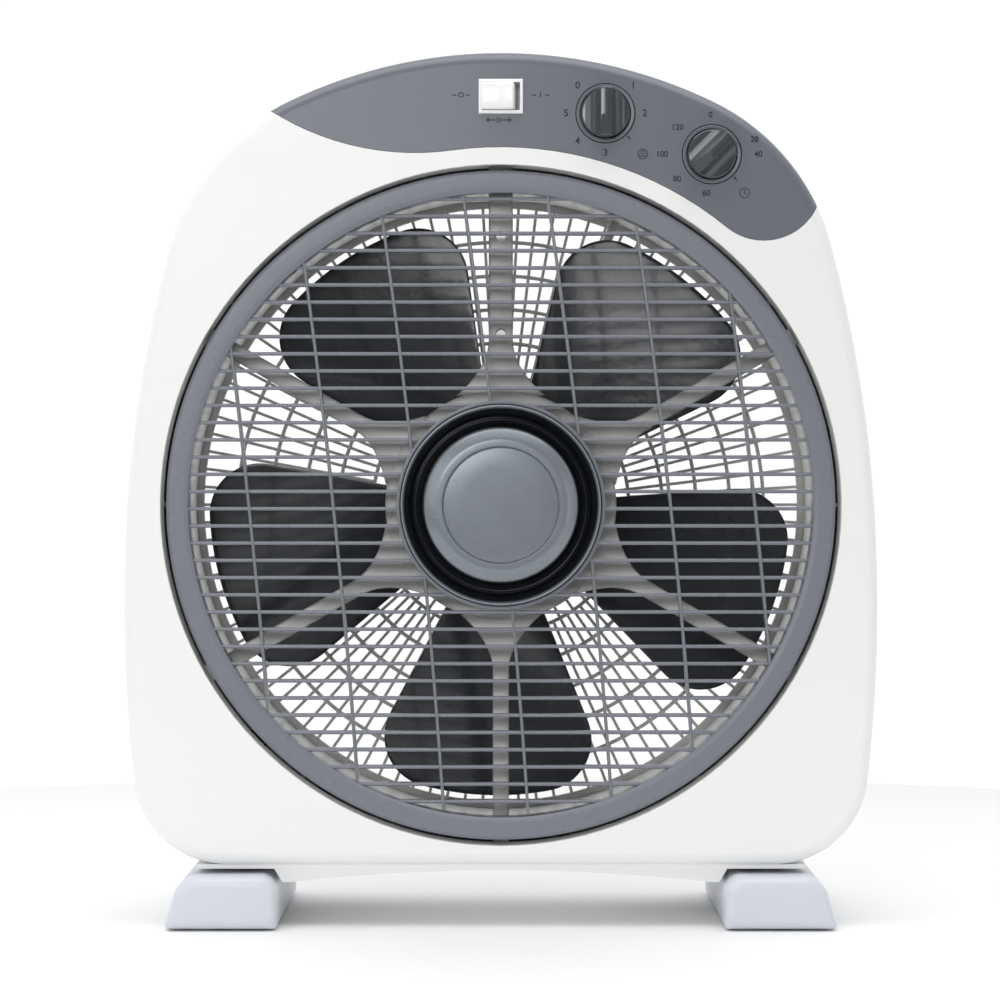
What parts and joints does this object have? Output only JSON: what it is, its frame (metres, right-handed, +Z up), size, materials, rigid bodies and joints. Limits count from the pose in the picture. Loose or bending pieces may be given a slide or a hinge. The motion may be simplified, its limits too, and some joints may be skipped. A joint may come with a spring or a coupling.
{
  "type": "box fan",
  "caption": "Free-standing box fan: rounded casing on bar feet, rotating slatted front louvre, rear guard, speed knob, timer knob and rocker switch.",
  "frame": {"origin": "on the floor under the middle of the feet", "axes": "+Z up, the fan faces -Y, +X to the right as seen from the front"},
  "size_m": [0.3708, 0.15, 0.43],
  "materials": {
    "shell_white": "white ABS, fine satin gloss",
    "panel_grey": "dark grey satin paint",
    "louvre_grey": "mid grey satin plastic",
    "cap_grey": "blue grey metallic lacquer",
    "bracket_grey": "light warm grey polypropylene",
    "blade_smoke": "smoky dark glossy plastic",
    "guard_white": "white polypropylene",
    "foot_grey": "pale blue grey plastic",
    "knob_grey": "dark metallic grey, polished",
    "rocker_white": "white polished plastic",
    "black_plastic": "black nylon",
    "screw_steel": "zinc plated",
    "motor_steel": "pressed steel, passivated",
    "core_steel": "stacked laminations",
    "copper_wire": "enamelled copper",
    "bearing_bronze": "sintered bronze",
    "pad_rubber": "soft rubber",
    "lead_sleeve": "white PVC sleeve"
  },
  "bodies": {
    "casing": {"base_plinth": "shell_white", "bracket_screws": "screw_steel", "capacitor": "lead_sleeve", "control_panel": "panel_grey", "cord_clamp": "black_plastic", "cord_grommet": "black_plastic", "duct_cover": "bracket_grey", "duct_screws": "screw_steel", "foot_left": "foot_grey", "foot_pads": "pad_rubber", "foot_right": "foot_grey", "foot_screws": "screw_steel", "front_bearing": "bearing_bronze", "front_bracket": "bracket_grey", "front_shell": "shell_white", "grille_screws": "screw_steel", "motor_bolts": "screw_steel", "motor_front_bell": "motor_steel", "motor_lead": "lead_sleeve", "motor_mount_screws": "screw_steel", "motor_rear_bell": "motor_steel", "rear_bearing": "bearing_bronze", "rear_grille": "guard_white", "rear_shell": "shell_white", "rocker_housing": "rocker_white", "shell_screws": "screw_steel", "speed_switch": "black_plastic", "stator_core": "core_steel", "stator_windings": "copper_wire", "swing_motor": "motor_steel", "swing_motor_lead": "lead_sleeve", "swing_motor_screws": "screw_steel", "terminal_block": "black_plastic", "terminal_screws": "screw_steel", "timer_mechanism": "black_plastic"},
    "fan": {"fan_blade": "blade_smoke", "spinner_nut": "black_plastic", "motor_shaft": "screw_steel", "drive_pin": "screw_steel", "motor_rotor": "core_steel"},
    "louvre_assembly": {"louvre": "louvre_grey", "hub_cap": "cap_grey", "cap_disc": "cap_grey", "louvre_screw": "screw_steel", "swing_motor_shaft": "screw_steel"},
    "speed_control": {"speed_knob": "knob_grey", "speed_knob_shaft": "screw_steel"},
    "timer_control": {"timer_knob": "knob_grey", "timer_knob_shaft": "screw_steel"},
    "swing_switch": {"swing_rocker": "rocker_white"}
  },
  "joints": [
    {"name": "fan_spin", "type": "hinge", "parent": "casing", "child": "fan", "pos_m": [0, 0.0412, 0.2075], "axis": [0, 1, 0], "continuous": true},
    {"name": "louvre_spin", "type": "hinge", "parent": "casing", "child": "louvre_assembly", "pos_m": [0, -0.0435, 0.2075], "axis": [0, 1, 0], "continuous": true},
    {"name": "speed_knob_turn", "type": "hinge", "parent": "casing", "child": "speed_control", "pos_m": [0.0513, -0.06, 0.3996], "axis": [0, 1, 0], "continuous": true},
    {"name": "timer_knob_turn", "type": "hinge", "parent": "casing", "child": "timer_control", "pos_m": [0.1035, -0.06, 0.3795], "axis": [0, 1, 0], "range_deg": [-45, 270]},
    {"name": "swing_rocker_tilt", "type": "hinge", "parent": "casing", "child": "swing_switch", "pos_m": [0, -0.057, 0.4079], "axis": [0, 0, 1], "range_deg": [0, 16]}
  ]
}
